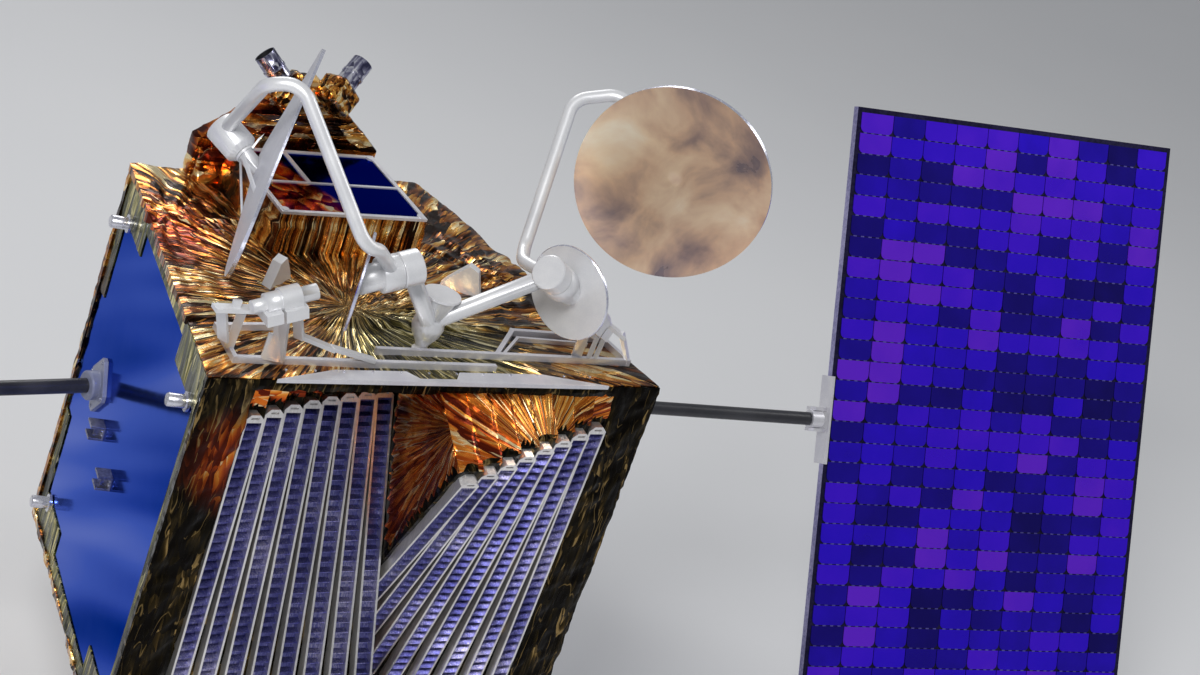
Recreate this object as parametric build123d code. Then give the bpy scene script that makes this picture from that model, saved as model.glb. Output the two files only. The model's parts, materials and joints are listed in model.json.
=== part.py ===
from build123d import *
from math import cos, radians, sin, sqrt, tan
import os

# Communications satellite with two swept solar wings and two steered dish antennas.
# Body frame: X to the right wing, Y to the narrow back, Z up, origin in the middle of the bus.
# Every piece is moved by INTERFACE_Y at the end, so that Y = 0 is the bolted back interface.

# Bus: a wedge in plan, wide at the front
FRONT_HALF = 650
BACK_HALF = 432
DEPTH = 1050
HEIGHT = 1100
BLANKET = 6
SIDE_SKIN = 14
FRONT_Y = -DEPTH / 2
BACK_Y = DEPTH / 2
TOP_Z = HEIGHT / 2
SIDE_SLOPE = (FRONT_HALF - BACK_HALF) / DEPTH
SIDE_COS = 1 / sqrt(1 + SIDE_SLOPE**2)

# Bolted interface on the back
PAD_X = 330
PAD_Z = TOP_Z - 120
PAD_R = 36
PAD_RISE = 25
PAD_HOLE_R = 5.5
INTERFACE_Y = BACK_Y + PAD_RISE

# Side faces: half outline of the radiator as (y, z), mirrored about mid height
RADIATOR_LOW = TOP_Z - 120
RADIATOR_HIGH = TOP_Z - 47
WINDOW_FRONT = FRONT_Y + 269
WINDOW_REAR = BACK_Y - 275
RADIATOR_FRONT = ((FRONT_Y + 47, RADIATOR_LOW), (WINDOW_FRONT, RADIATOR_LOW), (WINDOW_FRONT, RADIATOR_HIGH))
RADIATOR_STEP = (BACK_Y - 70, RADIATOR_LOW + 4)
RADIATOR_REAR = ((WINDOW_REAR, RADIATOR_HIGH), (WINDOW_REAR, RADIATOR_LOW + 4), RADIATOR_STEP)
RADIATOR_HALF = RADIATOR_FRONT + RADIATOR_REAR + ((BACK_Y - 70, TOP_Z - 360), (BACK_Y - 11, TOP_Z - 364))
RADIATOR_SINK = 3
STUB_R = 17
STUB_RISE = 54
STUB_FOOT_R = 25
STUB_FOOT = 7
STUB_PLACES = ((FRONT_Y + 88, TOP_Z - 125), (BACK_Y - 116, TOP_Z - 108))
SADDLE_PLACES = ((146, -33), (-28, -74))
SADDLE_PLATE = (46, 7, 40)
SADDLE_GAP = 34
FLANGE = 124
FLANGE_THICK = 12
COLLAR_R = 40
COLLAR_LENGTH = 30
BOOM_GAP = 0.5

# Waveguide bars: sixteen in one row, each pitched about X at mid height
BAR_COUNT = 16
BAR_PITCH = 65.3
BAR_WIDTH = 52
BAR_DEPTH = 30
BAR_LENGTH = HEIGHT - 176
BAR_FLOOR = 9
BAR_WALL = 6
BAR_CORNER = 14
BAR_CAP = 22
LOUVRE_COUNT = 33
LOUVRE_THICK = 3
LOUVRE_REACH = 17
LOUVRE_TILT = 32
BAR_PIVOT_Z = -20
BAR_SEAT_Y = FRONT_Y + 17
BAR_TILT_OUTER = 2
BAR_TILT_STEP = 3.3
BAY_HALF = BAR_COUNT * BAR_PITCH / 2
BAY_TOP = TOP_Z - 28
BAY_BOTTOM = -BAY_TOP
BAR_END_MARGIN = 10
BAY_FLOOR_Y = FRONT_Y + 275

# Solar wings
WING_ROOT_Y = BACK_Y - 253
WING_Z = 28
WING_SWEEP = 4.95
WING_TILT = 27.4
BOOM_R = 20
BOOM_LENGTH = 1417
SLEEVE_R = 27
SLEEVE_LENGTH = 40
PANEL_WIDTH = 1244
PANEL_LENGTH = 1928
PANEL_THICK = 22
CELL_THICK = 2
CELL_MARGIN = 14
CELL_COLUMNS = 10
COLUMN_GAP = 3
HINGE_SPAN = 270
HINGE_LEAF = 8
CLEVIS_GAP = 32
CLEVIS_CHEEK = (62, 44)
PIN_R = 7

# Steered antennas, written for the left hand; the right-hand frame is mirrored in X
AZIMUTH = {-1: (0.1, 17.7), 1: (-22.5, 31.8)}
POSE = {-1: (-63.6, -16.7), 1: (1.3, -32.3)}
BASE_POINT = (-184.6, FRONT_Y - 4, TOP_Z + 327.5)
BASE_R = 44.5
BASE_LENGTH = 52
DRUM_LENGTH = 54
DRUM_GAP = 1
RING_CHAMFER = 3
SPIGOT_R = 14
SPIGOT_FIT = 0.3
NECK_R = 34
BASE_TO_MIRROR = 161
MIRROR_R = 123
MIRROR_THICK = 8
BEAM_ANGLE = 107.9
BEAM_LENGTH = 402
DISH_SQUINT = 30.5
DISH_ROLL = {-1: 15, 1: 0}
DISH_MAJOR = 305
DISH_MINOR = 250
DISH_DEPTH = 35
DISH_LIFT = {-1: 24, 1: 9}
DISH_SHIFT = 26
DISH_DRIFT = -15
DISH_RIM = 10
DISH_BACK = 12
DISH_BACK_FLAT = 30
MOTOR_R = 42
MOTOR_START = 30
MOTOR_END = 124
MOTOR_CHAMFER = 13
HUB_R = 19
HUB_PLATE_R = 26
ARM_R = 17
ARM_BEND = 60
ARM_ROOT = 20
ARM_ELBOWS = {
    -1: ((20, -12, 148), (-24, -13, 184), (-87, 327, 390), (-156, 364, 363)),
    1: ((25, -5, 150), (-15, 30, 190), (-50, 420, 350), (-100, 500, 280)),
}

# Feed horn as (start, length, radius) along the azimuth axis, from the mirror outwards
HORN_START = 106
HORN_STEPS = ((0, 45, 20), (45, 50, 31), (95, 37, 26), (132, 34, 17))


def half_width(y):
    return FRONT_HALF - (y - FRONT_Y) * SIDE_SLOPE


def prism(points, start, direction):
    face = make_face(Polyline(*points, close=True).edges())
    return Pos(*start) * extrude(face, Vector(*direction).length, dir=Vector(*direction).normalized())


def bus_prism(side_inset, y0, y1, z0, z1):
    corners = []
    for y, side in ((y0, -1), (y0, 1), (y1, 1), (y1, -1)):
        corners.append((side * (half_width(y) - side_inset / SIDE_COS), y))
    return prism(corners, (0, 0, z0), (0, 0, z1 - z0))


def block(x0, x1, y0, y1, z0, z1):
    return Pos((x0 + x1) / 2, (y0 + y1) / 2, (z0 + z1) / 2) * Box(x1 - x0, y1 - y0, z1 - z0)


def rod(a, b, r):
    a, b = Vector(*a), Vector(*b)
    axis = b - a
    return Plane(a + axis * 0.5, z_dir=axis) * Cylinder(r, axis.length)


def bar(a, b, wide, high, up=(0, 0, 1)):
    a, b = Vector(*a), Vector(*b)
    axis = b - a
    side = axis.cross(Vector(*up))
    if side.length < 0.01 * axis.length:
        side = Vector(1, 0, 0)
    return Plane(a + axis * 0.5, x_dir=side, z_dir=axis) * Box(wide, high, axis.length)


def turn(v, axis, angle):
    a = radians(angle)
    return v * cos(a) + axis.cross(v) * sin(a) + axis * (axis.dot(v) * (1 - cos(a)))


def fuse(shapes):
    whole = shapes[0]
    for shape in shapes[1:]:
        whole = whole + shape
    return whole


PARTS = {}


def keep(name, shapes):
    if not isinstance(shapes, list):
        shapes = [shapes]
    solids = [s for shape in shapes for s in shape.solids()]
    PARTS[name] = Compound(children=solids) if len(solids) > 1 else solids[0]


# Side frames: origin on the side face, x forward to back, y up, z outward
def side_plane(side, y, z, out=0):
    normal = Vector(side * SIDE_COS, SIDE_COS * SIDE_SLOPE, 0)
    along = Vector(-side * SIDE_SLOPE, 1, 0).normalized()
    point = Vector(side * half_width(y), y, z) + normal * out
    return Plane(point, x_dir=along, z_dir=normal)


# Each swept boom leaves its side face at a root point
def boom_line(side):
    sweep_angle = radians(WING_SWEEP)
    root = Vector(side * half_width(WING_ROOT_Y), WING_ROOT_Y, WING_Z)
    return root, Vector(side * cos(sweep_angle), -sin(sweep_angle), 0)


# Bus structure with the open front bay
core = bus_prism(SIDE_SKIN, FRONT_Y + BLANKET, BACK_Y - BLANKET, -TOP_Z + BLANKET, TOP_Z - BLANKET)
bay = block(-BAY_HALF, BAY_HALF, FRONT_Y - 5, BAY_FLOOR_Y, BAY_BOTTOM, BAY_TOP)
keep("bus_structure", core - bay)

# Blankets over the flat faces
front = bus_prism(0, FRONT_Y, FRONT_Y + BLANKET, -TOP_Z + BLANKET, TOP_Z - BLANKET)
keep("blanket_front", front - bay)
keep("blanket_top", bus_prism(0, FRONT_Y, BACK_Y, TOP_Z - BLANKET, TOP_Z))
keep("blanket_bottom", bus_prism(0, FRONT_Y, BACK_Y, -TOP_Z, -TOP_Z + BLANKET))
back = bus_prism(0, BACK_Y - BLANKET, BACK_Y, -TOP_Z + BLANKET, TOP_Z - BLANKET)
pads = []
for x in (-PAD_X, PAD_X):
    for z in (-PAD_Z, PAD_Z):
        pad = rod((x, BACK_Y - BLANKET, z), (x, BACK_Y + PAD_RISE, z), PAD_R)
        back -= pad
        pads.append(pad - rod((x, BACK_Y - BLANKET, z), (x, BACK_Y + PAD_RISE, z), PAD_HOLE_R))
keep("blanket_back", back)
keep("dispenser_pads", pads)

# Side faces: mirror radiator inside a blanket frame, stubs, saddles and the wing drive flange
frames, mirrors, stubs, saddles, flanges = [], [], [], [], []
upper = [(y / SIDE_COS, z) for y, z in RADIATOR_HALF]
lower = [(y, -z) for y, z in reversed(upper)]
for side in (-1, 1):
    sunk = side_plane(side, 0, 0, -SIDE_SKIN)
    panel = sunk * extrude(Rectangle(DEPTH + 60, HEIGHT - 2 * BLANKET), SIDE_SKIN)
    panel = panel & block(-2 * FRONT_HALF, 2 * FRONT_HALF, FRONT_Y + BLANKET, BACK_Y - BLANKET, -TOP_Z, TOP_Z)
    window = make_face(Polyline(*upper, *lower, close=True).edges())
    frames.append(panel - sunk * extrude(window, SIDE_SKIN))
    mirrors.append(sunk * extrude(window, SIDE_SKIN - RADIATOR_SINK))
    for y, z in STUB_PLACES:
        stub = Pos(0, 0, STUB_RISE / 2) * Cylinder(STUB_R, STUB_RISE)
        stub = chamfer(stub.edges().group_by(Axis.Z)[-1], 3)
        stub += Pos(0, 0, STUB_FOOT / 2) * Cylinder(STUB_FOOT_R, STUB_FOOT)
        stubs += [side_plane(side, y, z) * stub, side_plane(side, y, -z) * stub]
    for y, z in SADDLE_PLACES:
        spot = side_plane(side, y, z, -RADIATOR_SINK)
        wide, thick, out = SADDLE_PLATE
        foot = Pos(0, 0, 2.5) * Box(wide, SADDLE_GAP + thick, 5)
        lugs = [Pos(0, v * SADDLE_GAP / 2, out / 2) * Box(wide, thick, out) for v in (-1, 1)]
        saddles.append(spot * fuse([foot] + lugs + [Pos(0, 0, 13) * Box(8, SADDLE_GAP, 24)]))
    seat = side_plane(side, WING_ROOT_Y, WING_Z, -RADIATOR_SINK)
    plate = Rot(0, 0, 45) * extrude(chamfer(Rectangle(FLANGE, FLANGE).vertices(), 14), FLANGE_THICK)
    root, along = boom_line(side)
    collar_end = FLANGE_THICK + COLLAR_LENGTH
    collar = Pos(0, 0, collar_end / 2 - FLANGE_THICK) * Cylinder(COLLAR_R, collar_end + 2 * FLANGE_THICK)
    collar = Plane(root, z_dir=along) * chamfer(collar.edges().group_by(Axis.Z)[-1], 4)
    inside = seat * Pos(0, 0, -COLLAR_R) * Box(4 * COLLAR_R, 4 * COLLAR_R, 2 * COLLAR_R)
    flanges.append(seat * plate + (collar - inside))
keep("side_blankets", frames)
keep("radiators", mirrors)
keep("hold_downs", stubs)
keep("saddle_brackets", saddles)
keep("drive_flanges", flanges)

# One slotted waveguide bar: a channel with end caps and a row of tilted louvres
outline = chamfer(Rectangle(BAR_WIDTH, BAR_LENGTH).vertices(), BAR_CORNER)
inner_length = BAR_LENGTH - 2 * BAR_CAP
channel = extrude(Rectangle(BAR_WIDTH - 2 * BAR_WALL, inner_length), BAR_DEPTH)
slot_bar = extrude(outline, BAR_DEPTH) - Pos(0, 0, BAR_FLOOR) * channel
for end in (-1, 1):
    slot_bar -= Pos(0, end * (BAR_LENGTH / 2 - 10), BAR_DEPTH - 2) * Box(22, 5, 10)
louvre_pitch = inner_length / LOUVRE_COUNT
louvre = Rot(LOUVRE_TILT, 0, 0) * Box(BAR_WIDTH - 2 * BAR_WALL, LOUVRE_THICK, LOUVRE_REACH)
louvres = []
for i in range(LOUVRE_COUNT):
    y = (i + 0.5 - LOUVRE_COUNT / 2) * louvre_pitch
    louvres.append(Pos(0, y, BAR_FLOOR + LOUVRE_REACH / 2 - 1) * louvre)
slot_bar = slot_bar.fuse(*louvres)

# Waveguide cases step along the bay, each parallel to the bar in front of it
cases, bars = [], {-1: [], 1: []}
for i in range(BAR_COUNT):
    x = (i - (BAR_COUNT - 1) / 2) * BAR_PITCH
    side = -1 if x < 0 else 1
    order = i if side < 0 else BAR_COUNT - 1 - i
    tilt = radians(-side * (BAR_TILT_OUTER + BAR_TILT_STEP * order))
    reach = (BAR_LENGTH / 2 + BAR_END_MARGIN) * cos(tilt)
    y_top = BAR_SEAT_Y + tan(tilt) * reach
    y_low = BAR_SEAT_Y - tan(tilt) * reach
    profile = [(BAY_FLOOR_Y, BAY_BOTTOM), (max(y_low, FRONT_Y), BAY_BOTTOM), (y_low, BAR_PIVOT_Z - reach)]
    profile += [(y_top, BAR_PIVOT_Z + reach), (max(y_top, FRONT_Y), BAY_TOP), (BAY_FLOOR_Y, BAY_TOP)]
    points = [(x - BAR_PITCH / 2, y, z) for y, z in profile]
    cases.append(prism(points, (0, 0, 0), (BAR_PITCH, 0, 0)))
    seat = Plane((x, BAR_SEAT_Y, BAR_PIVOT_Z), x_dir=(1, 0, 0), z_dir=(0, -cos(tilt), sin(tilt)))
    bars[side].append(seat * slot_bar)
keep("waveguide_cases", fuse(cases))
keep("waveguide_bars_left", bars[-1])
keep("waveguide_bars_right", bars[1])

# Tray along the front edge of the top face, notched at the back; y runs back from the front face
TRAY_HIGH = 12
TRAY_NOTCH = ((54, 28), (30, -5), (-75, -5), (-100, 28))
TRAY_PLAN = ((-480, -21), (480, -21), (300, 28)) + TRAY_NOTCH + ((-300, 28),)
keep("feed_tray", prism(TRAY_PLAN, (0, FRONT_Y, TOP_Z), (0, 0, TRAY_HIGH)))

# Shelf frames: rails on the top face, as (x, y) corners with y back from the front face
RAIL_HIGH = 20
RAIL_WIDE = 12
LEFT_RUN = ((-380, 225), (-541, 217), (-556, 68), (168, 55))
RIGHT_RUN = ((-135, 125), (605, 100), (590, 217), (318, 235), (213, 120))
INNER_RUN = ((232, 121), (322, 207), (524, 189), (532, 213))


def rail_run(corners, wide, high):
    rails = []
    for (x0, y0), (x1, y1) in zip(corners, corners[1:]):
        grow = Vector(x1 - x0, y1 - y0, 0).normalized() * (wide / 2)
        start = (x0 - grow.X, FRONT_Y + y0 - grow.Y, TOP_Z + high / 2)
        end = (x1 + grow.X, FRONT_Y + y1 + grow.Y, TOP_Z + high / 2)
        rails.append(bar(start, end, wide, high))
    return fuse(rails)


left_frame = rail_run(LEFT_RUN, RAIL_WIDE, RAIL_HIGH)
right_frame = rail_run(RIGHT_RUN, RAIL_WIDE, RAIL_HIGH) + rail_run(INNER_RUN, 8, 14)
keep("shelf_frames", [left_frame, right_frame])


# Antenna frames: m mirror point, d azimuth axis, e beam axis, n dish normal
def antenna_axes(side):
    yaw, rise = (radians(a) for a in AZIMUTH[side])
    azimuth_pose, elevation_pose = POSE[side]
    d = Vector(cos(rise) * cos(yaw), cos(rise) * sin(yaw), sin(rise))
    up = (Vector(0, 0, 1) - d * d.Z).normalized()
    r = turn(up, d, azimuth_pose)
    e = d * cos(radians(BEAM_ANGLE)) + r * sin(radians(BEAM_ANGLE))
    q = turn((d - e * e.dot(d)).normalized(), e, elevation_pose)
    n = e * -cos(radians(DISH_SQUINT)) + q * sin(radians(DISH_SQUINT))
    m = Vector(*BASE_POINT) - d * BASE_TO_MIRROR
    return m, d, r, d.cross(r), e, q, n


# The dish in its own frame: a shallow bowl with a coned back, cut to an ellipse
def dish_bowl():
    radius = (DISH_MAJOR**2 + DISH_DEPTH**2) / (2 * DISH_DEPTH)
    half = DISH_MAJOR / 2
    with BuildSketch(Plane.XZ) as section:
        with BuildLine():
            ThreePointArc((0, 0), (half, radius - sqrt(radius**2 - half**2)), (DISH_MAJOR, DISH_DEPTH))
            Polyline((DISH_MAJOR, DISH_DEPTH), (DISH_MAJOR, DISH_DEPTH - DISH_RIM))
            Polyline((DISH_MAJOR, DISH_DEPTH - DISH_RIM), (DISH_BACK_FLAT, -DISH_BACK))
            Polyline((DISH_BACK_FLAT, -DISH_BACK), (0, -DISH_BACK), (0, 0))
        make_face()
    bowl = revolve(section.sketch, Axis.Z)
    return bowl & extrude(Ellipse(DISH_MAJOR, DISH_MINOR), 200, both=True)


def ringed(radius, length):
    body = Pos(0, 0, length / 2) * Cylinder(radius, length)
    return chamfer(body.edges().filter_by(GeomType.CIRCLE), RING_CHAMFER)


def antenna(side):
    m, d, r, s, e, q, n = antenna_axes(side)
    name = "left" if side < 0 else "right"

    def at(v):
        return Vector(-side * v.X, v.Y, v.Z)

    def on(origin, axis):
        return Plane(at(origin), z_dir=at(axis))

    def disc(centre, axis, radius, length):
        return on(centre + axis * (length / 2), axis) * Cylinder(radius, length)

    # Azimuth: fixed base, drum, neck and flat subreflector
    base_end = m + d * (BASE_TO_MIRROR - BASE_LENGTH)
    drum_start = base_end - d * (DRUM_GAP + DRUM_LENGTH)
    spigot = disc(base_end - d * (DRUM_GAP + 4), d, SPIGOT_R, DRUM_GAP + 4)
    base = on(base_end, d) * ringed(BASE_R, BASE_LENGTH)
    mirror_n = (e - d).normalized()
    front_side = Pos(0, 0, 1.5 * MIRROR_R - MIRROR_THICK) * Box(4 * MIRROR_R, 4 * MIRROR_R, 3 * MIRROR_R)
    front_side = on(m, mirror_n) * front_side
    neck = disc(m, d, NECK_R, BASE_TO_MIRROR - BASE_LENGTH - DRUM_GAP - DRUM_LENGTH + 2)
    drum = on(drum_start, d) * ringed(BASE_R, DRUM_LENGTH) + (neck - front_side)
    socket_depth = DRUM_GAP + 4 + SPIGOT_FIT
    socket = disc(base_end - d * socket_depth, d, SPIGOT_R + SPIGOT_FIT, socket_depth)
    keep("azimuth_drum_" + name, drum - socket)
    flat = disc(m - mirror_n * MIRROR_THICK, mirror_n, MIRROR_R, MIRROR_THICK)
    keep("subreflector_" + name, chamfer(flat.edges().filter_by(GeomType.CIRCLE), 2))

    # Elevation motor on the bent tube arm
    vertex = m + e * BEAM_LENGTH
    motor = Pos(0, 0, (MOTOR_END - MOTOR_START) / 2) * Cylinder(MOTOR_R, MOTOR_END - MOTOR_START)
    rims = motor.edges().group_by(Axis.Z)
    motor = chamfer(rims[0], MOTOR_CHAMFER)
    motor = chamfer(motor.edges().group_by(Axis.Z)[-1], RING_CHAMFER)
    motor = on(vertex + e * MOTOR_START, e) * motor
    keep("elevation_motor_" + name, motor)
    elbows = [m + d * a + r * b + s * (-side * c) for a, b, c in ARM_ELBOWS[side]]
    start = drum_start + d * ARM_ROOT
    outward = elbows[0] - start
    start = start + (outward - d * outward.dot(d)).normalized() * (BASE_R - 5)
    end = vertex + e * (MOTOR_END - ARM_R - 12)
    outward = elbows[-1] - end
    end = end + (outward - e * outward.dot(e)).normalized() * (MOTOR_R - 5)
    path = FilletPolyline(*[at(p) for p in [start] + elbows + [end]], radius=ARM_BEND)
    tube = sweep(Plane(path @ 0, z_dir=path % 0) * Circle(ARM_R), path=path)
    keep("antenna_arm_" + name, tube - drum - motor)

    # Dish, with its hub and struts turning about the beam axis
    major = (q * cos(radians(DISH_SQUINT)) + e * sin(radians(DISH_SQUINT))).normalized()
    n = turn(n, major, DISH_ROLL[side])
    minor = n.cross(major)
    lift = DISH_LIFT[side]
    dish_origin = vertex + n * lift + major * DISH_SHIFT + minor * DISH_DRIFT
    dish = Plane(at(dish_origin), x_dir=at(major), z_dir=at(n)) * dish_bowl()
    keep("dish_" + name, dish)
    hub_top = vertex + e * (MOTOR_START - DRUM_GAP)
    front_plane = lift / n.dot(e)
    hub = disc(vertex + e * front_plane, e, HUB_R, MOTOR_START - DRUM_GAP - 3 - front_plane)
    hub = hub + disc(hub_top - e * 6, e, HUB_PLATE_R, 6)
    for u, v in ((170, 60), (170, -60), (-120, 90), (-120, -90)):
        foot = dish_origin + major * u + minor * v + n * 6
        top = hub_top - e * 4 + (q * (u / 10) + minor * (v / 5))
        hub = hub + bar(at(foot), at(top), 12, 5, up=at(n))
    above = on(hub_top, e) * Pos(0, 0, DISH_DEPTH) * Box(DISH_MAJOR, DISH_MAJOR, 2 * DISH_DEPTH)
    keep("dish_hub_" + name, (hub - dish - above).solids().sort_by(SortBy.VOLUME)[-1])

    # Feed horn on the azimuth axis
    steps = [disc(m - d * (HORN_START + a + length), d, radius, length) for a, length, radius in HORN_STEPS]
    return base + spigot, fuse(steps), m, d, at


# Feed brackets as (start, end, width, thickness) between the horns and the frames
# Their points are (x, y back from the front face, z above the top face)
LEFT_STRUTS = (
    ((-506, 5, 195), (-444, 63, 16), 34, 14),
    ((-474, 5, 200), (-404, 63, 78), 24, 12),
    ((-404, 63, 84), (-300, 63, 48), 26, 10),
    ((-306, 63, 52), (-178, 62, 20), 22, 10),
    ((-600, 25, 166), (-552, 115, 16), 22, 14),
    ((-470, 53, 90), (-468, 59, 16), 44, 8),
    ((-676, 25, 174), (-545, 25, 174), 30, 10),
    ((-650, 39, 172), (-600, 69, 62), 30, 8),
    ((-620, 25, 172), (-620, 25, 197), 22, 8),
)
RIGHT_STRUTS = (
    ((420, 89, 140), (446, 107, 90), 56, 8),
    ((446, 107, 106), (452, 117, 16), 26, 14),
    ((505, 125, 105), (482, 104, 16), 12, 8),
    ((528, 125, 100), (502, 103, 16), 12, 8),
    ((522, 139, 106), (584, 131, 72), 44, 10),
    ((578, 129, 82), (604, 103, 16), 24, 10),
)
# Saddle blocks clamped round the horn, as (start, length, drop) along the azimuth axis
SADDLES = ((134, 57, 44), (198, 42, 42))
SADDLE_WIDE = 78


def on_deck(point):
    return (point[0], FRONT_Y + point[1], TOP_Z + point[2])


bases, horns, brackets, tubes = [], [], [], []
POST_Y = FRONT_Y + 147
TUBE_R = 22
TUBE_FOOT = (0, POST_Y, TOP_Z + 82)
deck = block(-FRONT_HALF, FRONT_HALF, FRONT_Y, BACK_Y, TOP_Z - 60, TOP_Z)
for side, struts, frame in ((-1, LEFT_STRUTS, left_frame), (1, RIGHT_STRUTS, right_frame)):
    base, horn, m, d, at = antenna(side)
    bases.append(base)
    horns.append(horn)
    pieces = [bar(on_deck(start), on_deck(end), wide, thick) for start, end, wide, thick in struts]
    for along, length, drop in SADDLES:
        top = m - d * along
        low = Vector(0, 0, 6 + drop / 2)
        pieces.append(bar(at(top - low), at(top - d * length - low), SADDLE_WIDE, drop - 12))
    cluster = fuse(pieces) - horn - frame - deck
    brackets.append(cluster)
    inner = m + d * (BASE_TO_MIRROR - BASE_LENGTH / 2)
    tubes.append(rod(TUBE_FOOT, at(inner), TUBE_R))
keep("azimuth_bases", bases)
keep("feed_horns", horns)
keep("feed_brackets", brackets)

# Post on the top face: a turned foot that forks to the two azimuth bases
POST_FOOT = ((0, 0), (22, 0), (22, 7), (15, 14), (19, 26))
POST_PROFILE = POST_FOOT + ((36, 52), (42, 74), (38, 96), (24, 112), (0, 116))
turned = make_face(Polyline(*[(r, 0, z) for r, z in POST_PROFILE], close=True).edges())
post = Pos(0, POST_Y, TOP_Z) * revolve(turned, Axis.Z)
keep("antenna_post", fuse([post] + tubes) - bases[0] - bases[1] - right_frame)

# Cone antenna with its lid, standing on the post
CONE_AT = (3, POST_Y - 12)
CONE_LOW = 84
CONE_HIGH = 168
CONE_ROOT_R = 14
CONE_MOUTH_R = 44
LID = 6
LID_R = 49
cone = Cone(CONE_ROOT_R, CONE_MOUTH_R, CONE_HIGH - CONE_LOW)
cone = Pos(*CONE_AT, TOP_Z + (CONE_LOW + CONE_HIGH) / 2) * cone
cone_lid = Pos(*CONE_AT, TOP_Z + CONE_HIGH + LID / 2) * Cylinder(LID_R, LID)
keep("post_cone", cone + cone_lid - PARTS["antenna_post"])

# Cradle fins on the top face
FIN = ((-60, 0), (60, 0), (34, 78), (6, 88), (-42, 30))
FIN_AT = (273, BACK_Y - 598)
FIN_HALF_THICK = 14
fins = []
for side in (-1, 1):
    origin = (side * FIN_AT[0], FIN_AT[1], TOP_Z)
    place = Plane(origin, x_dir=(side * 0.8, -0.6, 0), z_dir=(-0.6, -0.8 * side, 0))
    fins.append(place * extrude(make_face(Polyline(*FIN, close=True).edges()), FIN_HALF_THICK, both=True))
keep("dish_cradles", fins)

# Mirror-topped box: mirrors lie in the pockets of a flat frame with lugs at its corners
BOX_HALF = 217
BOX_FRONT = BACK_Y - 435
BOX_REAR = BACK_Y - 85
BOX_TOP = TOP_Z + 125
RIM_THICK = 8
MIRROR_FILL = 4
LUG_R = 11
LUG_INSET = 14
LUG_RISE = 2
POCKETS = ((-205, 205, 12, 166), (-205, -66, 174, 338), (-54, 205, 174, 338))
rim = block(-BOX_HALF, BOX_HALF, BOX_FRONT, BOX_REAR, BOX_TOP - RIM_THICK, BOX_TOP)
tiles = []
for x0, x1, y0, y1 in POCKETS:
    front, rear = BOX_FRONT + y0, BOX_FRONT + y1
    rim -= block(x0, x1, front, rear, BOX_TOP - 2 * RIM_THICK, BOX_TOP + RIM_THICK)
    tiles.append(block(x0, x1, front, rear, BOX_TOP - RIM_THICK, BOX_TOP - RIM_THICK + MIRROR_FILL))
for x in (-BOX_HALF + LUG_INSET, BOX_HALF - LUG_INSET):
    for y in (BOX_FRONT + LUG_INSET, BOX_REAR - LUG_INSET):
        middle = BOX_TOP + (LUG_RISE - RIM_THICK) / 2
        rim += Pos(x, y, middle) * Cylinder(LUG_R, RIM_THICK + LUG_RISE)
keep("mirror_box", block(-BOX_HALF, BOX_HALF, BOX_FRONT, BOX_REAR, TOP_Z, BOX_TOP - RIM_THICK))
keep("box_mirrors", [tile - rim for tile in tiles])
keep("box_frame", rim)

# Rear housing: a gabled wall on the rear edge with a sloping skirt
GABLE = ((-285, 0), (248, 0), (248, 117), (18, 309), (-30, 309), (-285, 115))
WALL_FRONT = BACK_Y - 37
SKIRT_LEFT = -278
SKIRT_WIDE = 520
SKIRT = ((BACK_Y - 79, 0), (WALL_FRONT + 4, 0), (WALL_FRONT + 4, 92), (WALL_FRONT, 92))
wall = prism([(x, WALL_FRONT, TOP_Z + z) for x, z in GABLE], (0, 0, 0), (0, BACK_Y - WALL_FRONT, 0))
skirt = prism([(SKIRT_LEFT, y, TOP_Z + z) for y, z in SKIRT], (0, 0, 0), (SKIRT_WIDE, 0, 0))
keep("rear_housing", wall + skirt)

# Star trackers on the gable: a wrapped head and a banded baffle each
TRACKER_AXIS = (0.644, 0.391, 0.658)
TRACKER_X = 94
TRACKER_Y = BACK_Y - 35
TRACKER_Z = TOP_Z + 305
HEAD = (96, 78, 74)
HEAD_CHAMFER = 9
BAFFLE_R = 30
BAFFLE_LENGTH = 86
BAFFLE_BORE = 27
BAND = 7
BAND_RISE = 2
heads, baffles = [], []
for side in (-1, 1):
    axis = Vector(side * TRACKER_AXIS[0], TRACKER_AXIS[1], TRACKER_AXIS[2])
    face = Plane((side * TRACKER_X, TRACKER_Y, TRACKER_Z), x_dir=(axis.Z, 0, -axis.X), z_dir=axis)
    head = face * Pos(0, 0, -HEAD[2] / 2) * chamfer(Box(*HEAD).edges(), HEAD_CHAMFER)
    heads.append(head - PARTS["rear_housing"])
    tube = Pos(0, 0, BAFFLE_LENGTH / 2) * Cylinder(BAFFLE_R, BAFFLE_LENGTH)
    tube += Pos(0, 0, BAFFLE_LENGTH * 0.45) * Cylinder(BAFFLE_R + BAND_RISE, BAND)
    tube -= Pos(0, 0, BAFFLE_LENGTH / 2 + BAND) * Cylinder(BAFFLE_BORE, BAFFLE_LENGTH)
    baffles.append(face * tube)
keep("tracker_heads", heads)
keep("tracker_baffles", baffles)

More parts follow.
